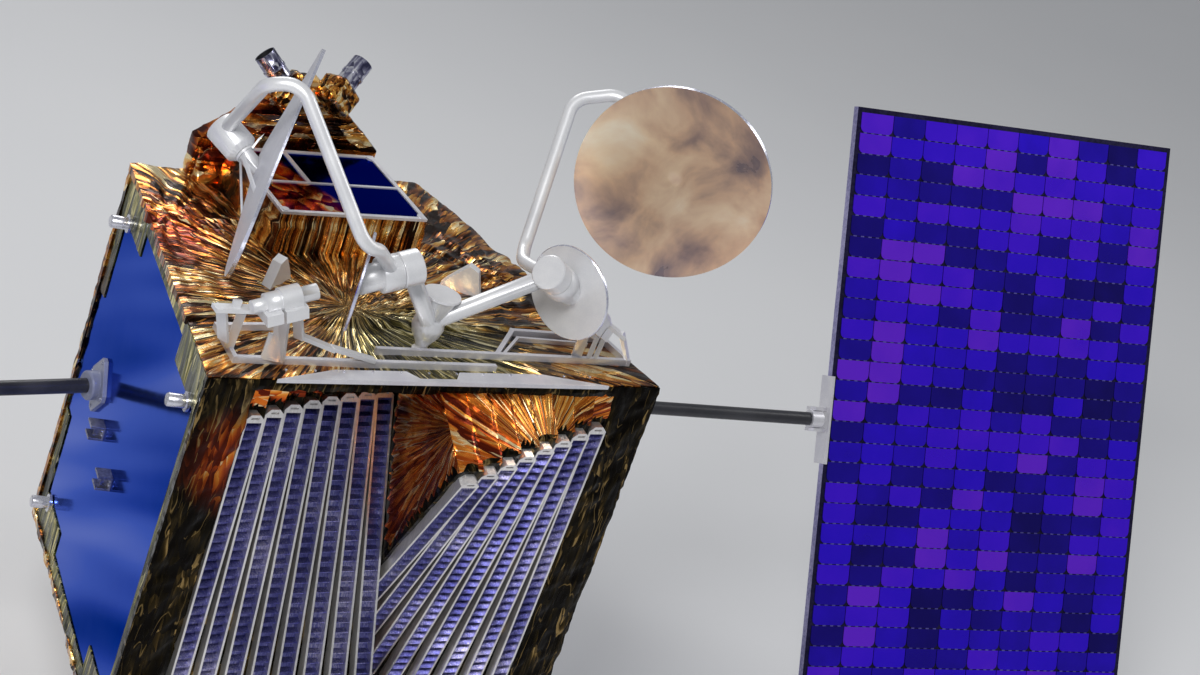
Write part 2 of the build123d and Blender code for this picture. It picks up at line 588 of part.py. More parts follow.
# Wings: each whole wing turns about its swept boom
column_pitch = (PANEL_WIDTH - 2 * CELL_MARGIN) / CELL_COLUMNS
column = Box(column_pitch - COLUMN_GAP, PANEL_LENGTH - 2 * CELL_MARGIN, CELL_THICK)
middles = [(i + 0.5) * column_pitch + CELL_MARGIN for i in range(CELL_COLUMNS)]
cell_field = [Pos(x, 0, CELL_THICK / 2) * column for x in middles]
for side in (-1, 1):
    name = "left" if side < 0 else "right"
    root, along = boom_line(side)
    tilt = radians(WING_TILT)
    level = Vector(side * -along.Y, side * along.X, 0)
    normal = Vector(0, 0, 1) * sin(tilt) - level * cos(tilt)
    boom_start = root + along * (FLANGE_THICK + COLLAR_LENGTH + BOOM_GAP)
    inner = root + along * BOOM_LENGTH
    boom_end = inner - along * 70
    keep("boom_" + name, rod(boom_start, boom_end, BOOM_R))
    wing = Plane(inner, x_dir=along, z_dir=normal)
    middle = wing * Pos(PANEL_WIDTH / 2, 0, -PANEL_THICK / 2)
    keep("panel_" + name, middle * Box(PANEL_WIDTH, PANEL_LENGTH, PANEL_THICK))
    keep("cells_" + name, [wing * strip for strip in cell_field])
    hinge = wing * Pos(0, 0, -PANEL_THICK / 2)
    fork = hinge * Pos(-HINGE_LEAF / 2, 0, 0) * Box(HINGE_LEAF, HINGE_SPAN, 60)
    for v in (-CLEVIS_GAP, CLEVIS_GAP):
        cheek = extrude(chamfer(Rectangle(*CLEVIS_CHEEK).vertices(), 12), 5, both=True)
        fork += hinge * Pos(-36, v, 0) * Rot(90, 0, 0) * cheek
    fork += hinge * Pos(-46, 0, 0) * Rot(90, 0, 0) * Cylinder(PIN_R, 2 * CLEVIS_GAP)
    fork += rod(boom_end, boom_end + along * SLEEVE_LENGTH, SLEEVE_R)
    keep("panel_bracket_" + name, fork)

os.makedirs("parts", exist_ok=True)
for name, shape in PARTS.items():
    export_step(Pos(0, -INTERFACE_Y, 0) * shape, "parts/" + name + ".step")
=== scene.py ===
# %% [markdown]
# # A small communications satellite in Blender
# The satellite is a wedge-shaped body wrapped in foil. It carries two banks of slotted waveguide
# bars on its front, two steered dish antennas on top and two solar wings at its sides.
# The packed CAD model gives every piece its place, so nothing here has to be fitted by eye.
# The box of the CAD model is kept now, because the dressed model must stay inside it.

# %% Load the packed model
import json
import random
from math import atan2, cos, exp, radians, sin, sqrt

import bmesh
import bpy
from mathutils import Matrix, Vector, noise
from mathutils.bvhtree import BVHTree

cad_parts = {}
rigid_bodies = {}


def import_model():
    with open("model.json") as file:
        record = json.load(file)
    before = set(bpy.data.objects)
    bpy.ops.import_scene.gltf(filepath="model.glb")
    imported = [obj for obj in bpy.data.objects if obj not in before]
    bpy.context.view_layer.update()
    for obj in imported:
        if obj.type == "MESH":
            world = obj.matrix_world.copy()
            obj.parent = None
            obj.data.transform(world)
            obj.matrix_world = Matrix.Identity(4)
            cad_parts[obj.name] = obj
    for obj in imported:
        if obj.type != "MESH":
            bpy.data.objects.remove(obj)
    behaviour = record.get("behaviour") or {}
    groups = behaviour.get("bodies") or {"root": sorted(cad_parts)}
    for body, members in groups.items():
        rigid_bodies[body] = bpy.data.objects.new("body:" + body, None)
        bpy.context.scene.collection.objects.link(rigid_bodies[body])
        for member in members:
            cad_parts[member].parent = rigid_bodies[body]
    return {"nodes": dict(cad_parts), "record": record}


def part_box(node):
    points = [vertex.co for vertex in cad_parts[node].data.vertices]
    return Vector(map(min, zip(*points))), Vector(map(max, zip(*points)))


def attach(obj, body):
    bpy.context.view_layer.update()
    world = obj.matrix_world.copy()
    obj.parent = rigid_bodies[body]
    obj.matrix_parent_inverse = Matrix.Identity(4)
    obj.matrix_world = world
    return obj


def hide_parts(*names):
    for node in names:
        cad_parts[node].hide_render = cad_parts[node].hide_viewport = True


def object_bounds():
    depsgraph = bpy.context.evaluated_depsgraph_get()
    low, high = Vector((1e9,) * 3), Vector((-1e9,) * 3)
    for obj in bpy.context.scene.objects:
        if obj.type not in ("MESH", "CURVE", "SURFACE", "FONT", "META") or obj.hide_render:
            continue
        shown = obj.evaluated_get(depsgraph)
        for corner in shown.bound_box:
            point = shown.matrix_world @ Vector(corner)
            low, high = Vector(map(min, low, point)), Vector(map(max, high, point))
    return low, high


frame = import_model()
cad_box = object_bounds()
nodes = frame["nodes"]
groups = frame["record"]["behaviour"]["bodies"]
carrier = {node: body for body, members in groups.items() for node in members}

# %% [markdown]
# ## The camera
# The photograph looks down on the front left corner from about eight metres with a long lens.
# The camera's axes were worked out once from the corners of the body, so its right and its up
# are written here. The third axis, backwards, is square to both, and the three together are
# the columns of the camera's matrix.

# %% Camera
CAMERA_AT = Vector((-3.8735, -6.4688, 3.8682))
CAMERA_RIGHT = Vector((0.8247, -0.4702, 0.3143))
CAMERA_UP = Vector((-0.0266, 0.5228, 0.8520))
LENS_MM = 89.86
SENSOR_MM = 36.0
SIGHT = 200.0
camera = bpy.data.objects.new("camera", bpy.data.cameras.new("camera"))
bpy.context.scene.collection.objects.link(camera)
backwards = CAMERA_RIGHT.cross(CAMERA_UP).normalized()
up = backwards.cross(CAMERA_RIGHT).normalized()
camera_turn = Matrix((CAMERA_RIGHT.normalized(), up, backwards)).transposed()
camera.matrix_world = Matrix.Translation(CAMERA_AT) @ camera_turn.to_4x4()
camera.data.lens = LENS_MM
camera.data.sensor_width = SENSOR_MM
camera.data.clip_end = SIGHT
bpy.context.scene.camera = camera
print("camera", [round(value, 3) for value in CAMERA_AT])

# %% [markdown]
# ## Shader maths as plain arithmetic
# A finish is easier to read when its maths looks like maths. A Value wraps one output socket,
# and adding or multiplying it puts the Math node in the tree. A Finish owns one material with
# one Principled shader, and its add method makes every other node from a type, its settings
# and its sockets. The methods below it are the few patterns that the finishes share: noise,
# cells, bent coordinates, coordinates that fan out round a point, and relief.

# %% Values and finishes
def socket_name(key):
    """A keyword such as base_color, as the shader spells it: Base Color."""
    return key.replace("_", " ").title().replace("Ior", "IOR")


class Value:
    """One output socket of a finish, with the arithmetic that the finishes use."""

    def __init__(self, finish, socket):
        self.finish = finish
        self.socket = socket

    def math(self, operation, *others):
        sockets = dict(enumerate((self,) + others))
        return self.finish.add("ShaderNodeMath", {"operation": operation}, sockets)

    def output(self, index):
        return Value(self.finish, self.socket.node.outputs[index])

    def __add__(self, other):
        return self.math("ADD", other)

    def __sub__(self, other):
        return self.math("SUBTRACT", other)

    def __rsub__(self, other):
        return self.finish.add("ShaderNodeMath", {"operation": "SUBTRACT"}, {0: other, 1: self})

    def __mul__(self, other):
        return self.math("MULTIPLY", other)

    __radd__ = __add__
    __rmul__ = __mul__


class Finish:
    """One procedural material."""

    def __init__(self, name, slot, **constants):
        self.slot = slot
        self.material = bpy.data.materials.new(name)
        self.material.use_nodes = True
        self.tree = self.material.node_tree
        self.tree.nodes.clear()
        self.shader = self.tree.nodes.new("ShaderNodeBsdfPrincipled")
        output = self.tree.nodes.new("ShaderNodeOutputMaterial")
        self.tree.links.new(self.shader.outputs[0], output.inputs[0])
        for key, value in constants.items():
            self.shader.inputs[socket_name(key)].default_value = value

    def add(self, kind, settings=None, sockets=None, out=0):
        node = self.tree.nodes.new(kind)
        for key, value in (settings or {}).items():
            if key == "stops":
                self.set_stops(node.color_ramp.elements, value)
            else:
                setattr(node, key, value)
        for key, value in (sockets or {}).items():
            self.feed(node.inputs[key], value)
        return Value(self, node.outputs[out])

    def set_stops(self, elements, stops):
        while len(elements) < len(stops):
            elements.new(1.0)
        for element, (place, colour) in zip(elements, stops):
            element.position = place
            element.color = (*colour, 1.0)

    def feed(self, socket, value):
        if isinstance(value, Value):
            self.tree.links.new(value.socket, socket)
        else:
            socket.default_value = value

    def place(self, scale=(1, 1, 1), turn=(0, 0, 0), centre=(0, 0, 0)):
        where = self.add("ShaderNodeTexCoord", out=3)
        return self.add("ShaderNodeMapping", {"vector_type": "TEXTURE"},
                        {"Vector": where, "Location": centre, "Rotation": turn,
                         "Scale": tuple(1 / value for value in scale)})

    def noise(self, where, scale, detail=3.0, rough=0.5, out=0):
        sockets = {"Vector": where, "Scale": scale, "Detail": detail, "Roughness": rough}
        return self.add("ShaderNodeTexNoise", sockets=sockets, out=out)

    def cells(self, where, scale):
        return self.add("ShaderNodeTexVoronoi", sockets={"Vector": where, "Scale": scale})

    def ramp(self, value, *stops):
        return self.add("ShaderNodeValToRGB", {"stops": stops}, {0: value})

    def mix(self, share, first, second):
        colours = [value if isinstance(value, Value) else (*value, 1.0) for value in (first, second)]
        sockets = {0: share, 6: colours[0], 7: colours[1]}
        return self.add("ShaderNodeMix", {"data_type": "RGBA"}, sockets, out=2)

    def step(self, value, low, high):
        sockets = {0: value, 1: low, 2: high}
        return self.add("ShaderNodeMapRange", {"interpolation_type": "SMOOTHSTEP"}, sockets)

    def vector(self, operation, first, second=(0, 0, 0), out=0):
        return self.add("ShaderNodeVectorMath", {"operation": operation}, {0: first, 1: second}, out)

    def parts(self, vector):
        return self.add("ShaderNodeSeparateXYZ", sockets={0: vector})

    def away(self, centre):
        return self.vector("SUBTRACT", self.place(), centre)

    def length(self, vector):
        return self.vector("LENGTH", vector, out=1)

    def shake(self, where, *bends):
        """Coordinates bent by one noise after another, each with a scale and an amount."""
        for scale, amount in bends:
            wander = self.noise(where, scale, 2.0, out=1)
            moved = self.add("ShaderNodeVectorMath", {"operation": "SCALE"}, {0: wander, "Scale": amount})
            where = self.vector("ADD", where, moved)
        return where

    def rays(self, centre, turns, run, plane=(0, 1)):
        """Coordinates that run round a point and slowly away from it, for creases that fan out."""
        offset = self.away(centre)
        part = self.parts(offset)
        angle = part.output(plane[1]).math("ARCTAN2", part.output(plane[0]))
        round_it = (angle.math("COSINE") * turns, angle.math("SINE") * turns)
        sockets = {0: round_it[0], 1: round_it[1], 2: self.length(offset) * run}
        return self.add("ShaderNodeCombineXYZ", sockets=sockets)

    def facets(self, where, scale):
        """A slope across every Voronoi cell, each in its own direction, and the cell's own number."""
        cell = self.cells(where, scale)
        away = self.vector("SUBTRACT", where, cell.output(2))
        pull = self.vector("SUBTRACT", cell.output(1), (0.5, 0.5, 0.5))
        number = self.add("ShaderNodeSeparateColor", sockets={0: cell.output(1)})
        return self.vector("DOT_PRODUCT", away, pull, out=1) * (2.0 * scale), number

    def relief(self, height, strength, depth):
        sockets = {"Height": height, "Strength": strength, "Distance": depth}
        self.feed(self.shader.inputs["Normal"], self.add("ShaderNodeBump", sockets=sockets))

    def paint(self, **sockets):
        for key, value in sockets.items():
            self.feed(self.shader.inputs[socket_name(key)], value)
        return self


print("operators of a value", [key for key in vars(Value) if key.startswith("__") and key != "__init__"])

# %% [markdown]
# ## Crumpled foil
# The blankets are thin metal-coated film, crumpled so that each facet catches another part of
# the surroundings. A plain studio has little to catch, so the finish carries a painted reflection:
# it runs from dark to bright across each facet, as a tilted mirror does, and the relief bends the
# real reflections. A facet is a Voronoi cell: the distance from its centre, measured along a
# direction of its own, makes an even slope, and the slope breaks off sharply at the next facet.
# A noise bends the cells first. Stretching them turns them into long creases, and coordinates
# that run round a point fan the creases out from it, as film does round the place where it is
# tied down. A finer layer of facets and a few painted glints along the folds lie over the broad ones.

# %% One foil finish
IOR = 1.45
BROAD_BENDS = ((3.0, 0.16), (11.0, 0.05))
FINE_BENDS = ((8.0, 0.05), (30.0, 0.02))
FINE_CELLS = 2.6
PATCH_EDGE = 0.22
THREAD_CELLS = 0.55
THREAD_WIDTH = 0.010
FOIL_RELIEF = 0.010


def foil_finish(name, shades, size, slot="gold_foil", stretch=(1, 1, 1), turn=(0, 0, 0), rough=0.20,
                patches=(), fan=None, crumpled=1.0, glint_share=0.7):
    """Foil whose facets run through the shades, with other shades in round patches."""
    foil = Finish(name, slot, metallic=0.96, ior=IOR)
    sheet = foil.rays(*fan) if fan else foil.place(stretch, turn)
    where = foil.shake(sheet, *BROAD_BENDS)
    broad, number = foil.facets(where, size)
    fine, fine_number = foil.facets(foil.shake(sheet, *FINE_BENDS), size * FINE_CELLS)
    drift = foil.noise(foil.place(), 2.4, 2.0)
    # The facets' slopes are a painted reflection: each facet runs dark to bright as a tilted mirror would.
    facet_tone = broad * 0.95 + fine * 0.50 + number * 0.16 + fine_number * 0.12
    tone = facet_tone * crumpled + drift * 0.90 + (0.04 - 0.14 * crumpled)
    colour = foil.ramp(tone, *shades)
    for centre, reach, patch_shades in patches:
        near = foil.length(foil.away(centre)) + drift * 0.25
        outside = foil.step(near, reach, reach + PATCH_EDGE)
        colour = foil.mix(outside, foil.ramp(tone, *patch_shades), colour)
    # The crease glints are painted highlights: thin lines in the brightest shade on lit facets.
    thread = (foil.noise(where, size * THREAD_CELLS, 2.0) - 0.5).math("ABSOLUTE")
    lit = foil.step(fine_number + drift, 0.80, 1.1)
    crease_glint = (1.0 - foil.step(thread, 0.0, THREAD_WIDTH)) * lit
    foil.paint(base_color=foil.mix(crease_glint * glint_share, colour, shades[-1][1]),
               roughness=fine_number * 0.16 + (rough - 0.06))
    foil.relief(broad * 0.6 + fine * 0.26, 0.6 * crumpled, FOIL_RELIEF)
    return foil


# %% [markdown]
# ## The shades of the foil
# The same film looks amber, orange, olive or nearly black, by what it faces and by the light
# that it passes on. Each table below runs from the dark to the bright end of one look. The
# sheets mix them: amber on top with an olive patch of painted shade and an orange patch, orange
# on the cases with a glow near the tray, olive along the sides, and nearly black as painted shade
# behind the bars and on the front strip.

# %% Foil shades and finishes
AMBER = ((0.14, (0.022, 0.009, 0.004)), (0.36, (0.200, 0.055, 0.010)), (0.54, (0.580, 0.215, 0.034)),
         (0.73, (0.870, 0.470, 0.100)), (0.93, (1.000, 0.820, 0.460)))
OLIVE = ((0.12, (0.012, 0.012, 0.006)), (0.38, (0.085, 0.076, 0.022)), (0.58, (0.250, 0.205, 0.058)),
         (0.76, (0.560, 0.450, 0.160)), (0.92, (0.900, 0.800, 0.480)))
ORANGE = ((0.14, (0.130, 0.014, 0.005)), (0.36, (0.440, 0.060, 0.008)), (0.52, (0.740, 0.150, 0.016)),
          (0.70, (0.940, 0.340, 0.045)), (0.92, (1.000, 0.780, 0.420)))
SHADOW = ((0.30, (0.005, 0.004, 0.003)), (0.56, (0.012, 0.009, 0.004)), (0.74, (0.028, 0.019, 0.007)),
          (0.88, (0.070, 0.044, 0.014)), (0.99, (0.300, 0.200, 0.075)))
SATIN = ((0.14, (0.010, 0.011, 0.004)), (0.38, (0.052, 0.056, 0.012)), (0.58, (0.150, 0.148, 0.030)),
         (0.76, (0.330, 0.290, 0.070)), (0.93, (0.780, 0.680, 0.300)))
RUST = ((0.10, (0.020, 0.009, 0.004)), (0.40, (0.110, 0.044, 0.010)), (0.62, (0.260, 0.110, 0.022)),
        (0.82, (0.520, 0.280, 0.070)), (0.95, (0.900, 0.680, 0.300)))
EMBER = ((0.12, (0.120, 0.030, 0.006)), (0.34, (0.480, 0.150, 0.016)), (0.52, (0.840, 0.400, 0.050)),
         (0.70, (0.980, 0.660, 0.170)), (0.90, (1.000, 0.920, 0.560)))

# The olive patch at the front of the top is painted shade, darker where less light falls.
top_foil = foil_finish(
    "amber_foil_top", AMBER, 9.0, fan=(Vector((-0.12, -0.74, 0.55)), 2.3, 0.62),
    patches=[(Vector((0.05, -0.98, 0.55)), 0.30, OLIVE), (Vector((-0.50, -0.36, 0.55)), 0.16, ORANGE)])
amber_foil = foil_finish("amber_foil", AMBER, 19.0, stretch=(1.1, 1, 0.6), turn=(0.3, 0.5, 0.4))
ridge_foil = foil_finish(
    "amber_foil_ridged", AMBER, 9.0, stretch=(0.7, 1, 2.6),
    patches=[(Vector((-0.18, -0.16, 0.68)), 0.20, ORANGE)])
shadow_foil = foil_finish(
    "dark_foil", SHADOW, 24.0, stretch=(1.4, 1, 0.30), crumpled=0.7, glint_share=0.6)
head_foil = foil_finish(
    "tracker_head_foil", AMBER, 30.0, patches=[(Vector((0.10, -0.06, 0.86)), -0.02, OLIVE)])
satin_foil = foil_finish(
    "satin_olive_foil", SATIN, 22.0, slot="green_gold_foil", stretch=(1, 1.3, 0.24), rough=0.28,
    patches=[(Vector((-0.50, -0.02, 0.1)), 0.16, RUST)], crumpled=0.75, glint_share=0.5)
orange_foil = foil_finish(
    "orange_foil", ORANGE, 7.0, fan=(Vector((0.30, -1.05, 0.40)), 2.2, 0.9, (0, 2)),
    patches=[(Vector((0.28, -1.02, 0.44)), 0.16, EMBER)], crumpled=0.62, glint_share=0.9)
drape_foil = foil_finish(
    "orange_drape", ORANGE, 7.0, fan=(Vector((0, -1.20, 0.50)), 1.8, 0.7, (1, 2)),
    patches=[(Vector((0.02, -1.12, 0.46)), 0.02, EMBER)], crumpled=0.62, glint_share=0.9)
# The front strip's near-black SHADOW shades are painted shade.
shaded_front_foil = foil_finish(
    "painted_shade_front_foil", SHADOW, 24.0, stretch=(1.4, 1, 0.30),
    patches=[(Vector((-0.47, -1.07, 0.34)), 0.10, ORANGE)], crumpled=0.7, glint_share=0.6)
print("foil finishes", len(bpy.data.materials))

# %% [markdown]
# ## Painted and bare metal
# The antenna pieces are matte white thermal paint: nearly even, with a faint cloudiness, a fine
# speckle and a rougher touch where it was sprayed thicker. Bare metal has a cloudy tone and
# fine marks, which also make its roughness and its relief.

# %% Paint and bare metal
CLEAR_IOR = 1.5
BARE = 0.9
MARK_SCALE = 90.0
MARK_RELIEF = 0.0015


def paint_finish(name, slot, colour, shade, rough=0.42, sheen=0.0):
    paint = Finish(name, slot, metallic=sheen, ior=CLEAR_IOR)
    where = paint.place()
    cloud = paint.noise(where, 9.0, 4.0, 0.6)
    speckle = paint.noise(where, 420.0, 2.0, 0.5)
    tone = cloud * 0.7 + speckle * 0.3
    paint.paint(base_color=paint.mix(paint.step(tone, 0.35, 0.7), shade, colour),
                roughness=cloud * 0.2 + (rough - 0.1))
    paint.relief(speckle * 0.6 + cloud * 0.4, 0.18, 0.002)
    return paint


def metal_finish(name, slot, colour, shade, rough):
    metal = Finish(name, slot, metallic=BARE, ior=IOR)
    marks = metal.noise(metal.place(), MARK_SCALE, 3.0, 0.6)
    cloud = metal.noise(metal.place(), 6.0, 3.0, 0.55)
    tone = marks * 0.5 + cloud * 0.5
    metal.paint(base_color=metal.mix(metal.step(tone, 0.36, 0.66), shade, colour),
                roughness=marks * 0.22 + (rough - 0.1))
    metal.relief(marks, 0.25, MARK_RELIEF)
    return metal


white_paint = paint_finish(
    "white_thermal_paint", "white_paint", (0.860, 0.860, 0.865), (0.740, 0.745, 0.765), 0.36, 0.40)
frame_paint = paint_finish(
    "lilac_white_paint", "white_paint", (0.790, 0.780, 0.800), (0.620, 0.615, 0.670), 0.34, 0.5)
flange_paint = paint_finish(
    "bluish_flange", "white_paint", (0.300, 0.320, 0.440), (0.180, 0.195, 0.300), 0.36)
black_tube = paint_finish(
    "black_boom_wrap", "black_tube", (0.045, 0.045, 0.052), (0.020, 0.020, 0.026), 0.34)
dark_bore = paint_finish(
    "black_bore", "black_tube", (0.012, 0.012, 0.016), (0.006, 0.006, 0.008), 0.6)
pale_metal = metal_finish(
    "brushed_structure", "structure", (0.640, 0.650, 0.670), (0.430, 0.440, 0.470), 0.36)
bright_stub = metal_finish(
    "bright_stub", "structure", (0.800, 0.800, 0.840), (0.560, 0.560, 0.640), 0.26)
saddle_metal = metal_finish(
    "dark_saddle", "white_paint", (0.300, 0.300, 0.380), (0.120, 0.125, 0.180), 0.34)
print("paint and metal", white_paint.material.name, pale_metal.material.name)

# %% [markdown]
# ## The waveguide bars' metal
# A bar is one milled piece with tool marks along it. Its rails and end caps keep the pale colour
# of bare metal that catches the light, while the louvres down in the channel are painted dark
# blue as painted shade. Both are in one mesh, so the finish tells them apart by place: the bars
# stand at an even pitch, so the fraction of x over the pitch says how far a point is from a bar's
# middle, and the distance from the middle of the row says where a channel ends.

# %% Rails, caps and louvres
BAR_PITCH = 0.0653
BAR_HALF_CHANNEL = 0.020
BAR_MIDDLE = (0, -1.058, -0.020)
CHANNEL_REACH = 0.4402
RAIL_EDGE = 0.006
CAP_EDGE = 0.002


def guide_finish():
    guide = Finish("milled_waveguide", "waveguide", metallic=BARE, ior=IOR)
    where = guide.place()
    marks = guide.noise(guide.place((3, 3, 0.25)), MARK_SCALE, 3.0, 0.6)
    cloud = guide.noise(where, 6.0, 3.0, 0.55)
    across = (guide.parts(where) * (1 / BAR_PITCH)).math("FRACT") - 0.5
    edge = BAR_HALF_CHANNEL / BAR_PITCH
    rail = guide.step(across.math("ABSOLUTE"), edge - RAIL_EDGE, edge + RAIL_EDGE)
    run = guide.vector("MULTIPLY", guide.vector("SUBTRACT", where, BAR_MIDDLE), (0, 1, 1))
    cap = guide.step(guide.length(run), CHANNEL_REACH, CHANNEL_REACH + CAP_EDGE)
    tone = marks * 0.5 + cloud * 0.5
    # The louvres' dark blue is painted shade; the rails and caps keep the pale metal's colour.
    louvre = guide.ramp(tone, (0.34, (0.050, 0.052, 0.220)), (0.52, (0.170, 0.170, 0.420)),
                        (0.68, (0.620, 0.590, 0.720)))
    wall = guide.ramp(tone, (0.36, (0.640, 0.620, 0.620)), (0.66, (0.940, 0.920, 0.900)))
    guide.paint(base_color=guide.mix(rail.math("MAXIMUM", cap), louvre, wall),
                roughness=marks * 0.22 + 0.22)
    guide.relief(marks, 0.25, MARK_RELIEF)
    return guide


guide_metal = guide_finish()
print("share of a pitch that is channel", round(2 * BAR_HALF_CHANNEL / BAR_PITCH, 2))

# %% [markdown]
# ## Mirrors and silver film
# The radiators are second-surface mirrors, which look blue. A long low noise gives them the
# soft sloping bands of what they reflect. The small mirrors of the box on top also reflect the
# orange foil beside them, so part of their face takes the foil's shades. The baffles of the
# star trackers are wrapped in silver film, with streaks along the tube: the Mapping node is
# turned to the tube's axis and squeezed along it.

# %% Mirrors and film
BAND_TURN = (radians(-31), 0, 0)
BAND_STRETCH = (0.1, 0.1, 1.1)
MIRROR_TINT = (0.34, 0.42, 0.80, 1.0)
WARM_EDGE = (-0.13, -0.10)


def mirror_finish(name, shades, bands, warm=None):
    mirror = Finish(name, "mirror", metallic=1.0, ior=IOR, specular_tint=MIRROR_TINT)
    where = mirror.place(scale=BAND_STRETCH, turn=BAND_TURN)
    cloud = mirror.noise(mirror.shake(where, (2.0, 0.14)), bands, 2.0)
    haze = mirror.noise(mirror.place(), 60.0, 2.0)
    colour = mirror.ramp(cloud, *shades)
    if warm:
        part = mirror.parts(mirror.shake(mirror.place(), (9.0, 0.06)))
        slope, number = mirror.facets(mirror.shake(mirror.place(), (12.0, 0.06)), 24.0)
        glow = mirror.ramp(slope * 0.9 + number * 0.3 + 0.3, *warm)
        cool = mirror.step(part + part.output(1) * 0.35, *WARM_EDGE)
        colour = mirror.mix(cool, glow, colour)
    mirror.paint(base_color=colour, roughness=haze * 0.08 + 0.08)
    mirror.relief(mirror.noise(mirror.place(), 5.0, 2.0), 0.10, 0.01)
    return mirror


def baffle_line(side):
    """The foot and the direction of one star tracker's baffle."""
    return Vector((side * 0.094, -0.060, 0.855)), Vector((side * 0.644, 0.391, 0.658))


def film_finish(name, side):
    film = Finish(name, "baffle_silver", metallic=1.0, ior=IOR)
    foot, axis = baffle_line(side)
    turn = tuple(axis.to_track_quat("Z", "Y").to_euler())
    streak = film.noise(film.place((1, 1, 0.12), turn, foot), 95.0, 3.0, 0.6)
    wrinkle, number = film.facets(film.shake(film.place(), (30.0, 0.02)), 46.0)
    tone = streak * 0.9 + wrinkle * 0.3 + number * 0.2 - 0.10
    silver = film.ramp(tone, (0.26, (0.060, 0.060, 0.120)), (0.42, (0.260, 0.255, 0.380)),
                       (0.56, (0.620, 0.620, 0.720)), (0.72, (0.950, 0.940, 0.960)))
    film.paint(base_color=silver, roughness=streak * 0.2 + 0.12)
    film.relief(streak, 0.5, 0.003)
    return film


radiator_mirror = mirror_finish("radiator_mirror", (
    (0.34, (0.022, 0.026, 0.200)), (0.45, (0.066, 0.095, 0.440)), (0.56, (0.150, 0.215, 0.680)),
    (0.67, (0.400, 0.460, 0.880))), 3.2)
box_mirror = mirror_finish("box_mirror", (
    (0.32, (0.006, 0.008, 0.050)), (0.50, (0.014, 0.020, 0.140)), (0.66, (0.030, 0.042, 0.260)),
    (0.80, (0.080, 0.100, 0.400))), 4.0, ORANGE)
left_film = film_finish("silver_film_left", -1)
right_film = film_finish("silver_film_right", 1)
print("finishes so far", len(bpy.data.materials))

# %% [markdown]
# ## Carrying a CAD piece over
# A rigid piece whose shape is right only needs clean shading. Its mesh is copied, its loose
# triangles are merged, flat faces are joined again and the shading is smooth except at real
# edges. A small live bevel then gives each edge the thin bright line that machined parts have.
# A piece with several finishes has zones: each zone is a finish and a test that tells which
# faces belong to it, and every other face keeps the piece's first finish.

# %% Copies of rigid pieces
MERGE = 2e-5
FINE_BEVEL = 0.0008
BEVEL = 0.001
SHARP_EDGE = 40


def put(name, mesh, finishes, like, stands_for=()):
    """Puts a mesh in the scene, riding on the body that carries the node it is like."""
    piece = bpy.data.objects.new(name, mesh)
    bpy.context.scene.collection.objects.link(piece)
    for finish in finishes:
        mesh.materials.append(finish.material)
    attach(piece, carrier[like])
    if stands_for:
        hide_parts(*stands_for)
    return piece


def merged_copy(node, join=0.8):
    """A CAD mesh with its corners merged and faces joined that differ by less than join degrees."""
    work = bmesh.new()
    work.from_mesh(nodes[node].data)
    bmesh.ops.remove_doubles(work, verts=work.verts[:], dist=MERGE)
    bmesh.ops.dissolve_limit(work, angle_limit=radians(join), verts=work.verts[:], edges=work.edges[:])
    return work


def sort_faces(work, zones):
    for index, (zone_finish, belongs) in enumerate(zones, 1):
        for face in work.faces:
            if belongs(face):
                face.material_index = index


def to_mesh(work, name, smooth=True, angle=32):
    mesh = bpy.data.meshes.new(name)
    work.to_mesh(mesh)
    work.free()
    if smooth:
        mesh.shade_smooth()
        mesh.set_sharp_from_angle(angle=radians(angle))
    return mesh


def carry(node, finish, bevel=0.0, zones=(), join=0.8):
    work = merged_copy(node, join)
    sort_faces(work, zones)
    finishes = [finish] + [zone_finish for zone_finish, belongs in zones]
    mesh = to_mesh(work, "shaped_" + node)
    piece = put("shaped_" + node, mesh, finishes, like=node, stands_for=[node])
    if bevel:
        edge = piece.modifiers.new("edge", "BEVEL")
        edge.width = bevel
        edge.segments = 2
        edge.limit_method = "ANGLE"
        edge.angle_limit = radians(SHARP_EDGE)
        edge.harden_normals = True


for node, finish, bevel in (
        ("feed_tray", frame_paint, BEVEL), ("shelf_frames", frame_paint, BEVEL),
        ("feed_horns", white_paint, 0.0), ("feed_brackets", white_paint, FINE_BEVEL),
        ("antenna_post", white_paint, 0.0), ("post_cone", white_paint, 0.0),
        ("azimuth_bases", white_paint, 0.0), ("dish_cradles", white_paint, BEVEL),
        ("box_frame", frame_paint, BEVEL), ("hold_downs", bright_stub, 0.0),
        ("saddle_brackets", saddle_metal, FINE_BEVEL), ("drive_flanges", flange_paint, BEVEL),
        ("dispenser_pads", pale_metal, BEVEL)):
    carry(node, finish, bevel)
for hand in ("left", "right"):
    for node, finish in (
            ("azimuth_drum_", white_paint), ("antenna_arm_", white_paint),
            ("elevation_motor_", white_paint), ("dish_hub_", white_paint),
            ("boom_", black_tube), ("panel_bracket_", frame_paint)):
        carry(node + hand, finish)
carried = [piece for piece in bpy.data.objects if piece.name.startswith("shaped_")]
print("rigid pieces carried over", len(carried))

# %% [markdown]
# ## Waveguide bars and radiators
# These CAD solids are already exact, louvre by louvre, so their own meshes stay and only take
# the finish in their material slots. The closed block inside the body stays as it is too.

# %% Finishes for the CAD meshes that stay
def dress(node, finish):
    mesh = nodes[node].data
    if not mesh.materials:
        mesh.materials.append(finish.material)
    for index in range(len(mesh.materials)):
        mesh.materials[index] = finish.material


for node in ("waveguide_bars_left", "waveguide_bars_right"):
    dress(node, guide_metal)
dress("radiators", radiator_mirror)
dress("box_mirrors", box_mirror)
dress("bus_structure", pale_metal)
print("louvred bars", len(nodes["waveguide_bars_left"].data.polygons), "faces a bank")

